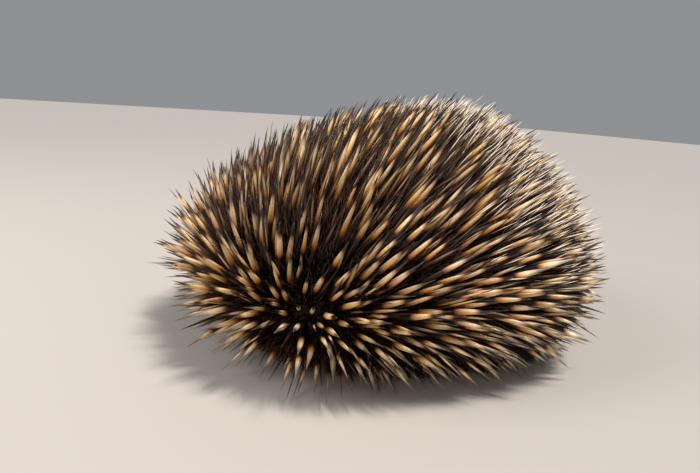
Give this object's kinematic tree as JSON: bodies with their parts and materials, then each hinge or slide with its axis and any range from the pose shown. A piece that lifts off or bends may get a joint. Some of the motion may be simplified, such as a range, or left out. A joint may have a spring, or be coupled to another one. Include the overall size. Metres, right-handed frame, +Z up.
{
  "type": "short-beaked echidna",
  "caption": "Life-size echidna hunkered down on the ground, its head tucked under a domed coat of thick tan spines with dark tips, beak and claws just showing at one side.",
  "frame": {"origin": "on the floor under the middle of the outline", "axes": "+Z up, the body faces -Y, its left side is +X"},
  "size_m": [0.292, 0.305, 0.178],
  "materials": {
    "spines": "satin tan spines with dark brown tips and pale bristles",
    "fur": "short coarse black-brown fur",
    "beak_skin": "bare dark grey skin, finely wrinkled",
    "claw_horn": "worn dark horn",
    "eye": "wet black"
  },
  "bodies": {
    "root": {"neck": "spines", "shoulders": "spines", "trunk": "spines", "rump": "spines", "tail": "spines", "head": "fur", "ear_l": "fur", "ear_r": "fur", "foreleg_l": "fur", "foreleg_r": "fur", "hindleg_l": "fur", "hindleg_r": "fur", "beak": "beak_skin", "eye_l": "eye", "eye_r": "eye", "foreclaw_l_1": "claw_horn", "foreclaw_l_2": "claw_horn", "foreclaw_l_3": "claw_horn", "foreclaw_l_4": "claw_horn", "foreclaw_l_5": "claw_horn", "foreclaw_r_1": "claw_horn", "foreclaw_r_2": "claw_horn", "foreclaw_r_3": "claw_horn", "foreclaw_r_4": "claw_horn", "foreclaw_r_5": "claw_horn", "hindclaw_l_1": "claw_horn", "hindclaw_l_2": "claw_horn", "hindclaw_l_3": "claw_horn", "hindclaw_l_4": "claw_horn", "hindclaw_l_5": "claw_horn", "hindclaw_r_1": "claw_horn", "hindclaw_r_2": "claw_horn", "hindclaw_r_3": "claw_horn", "hindclaw_r_4": "claw_horn", "hindclaw_r_5": "claw_horn"}
  },
  "joints": []
}
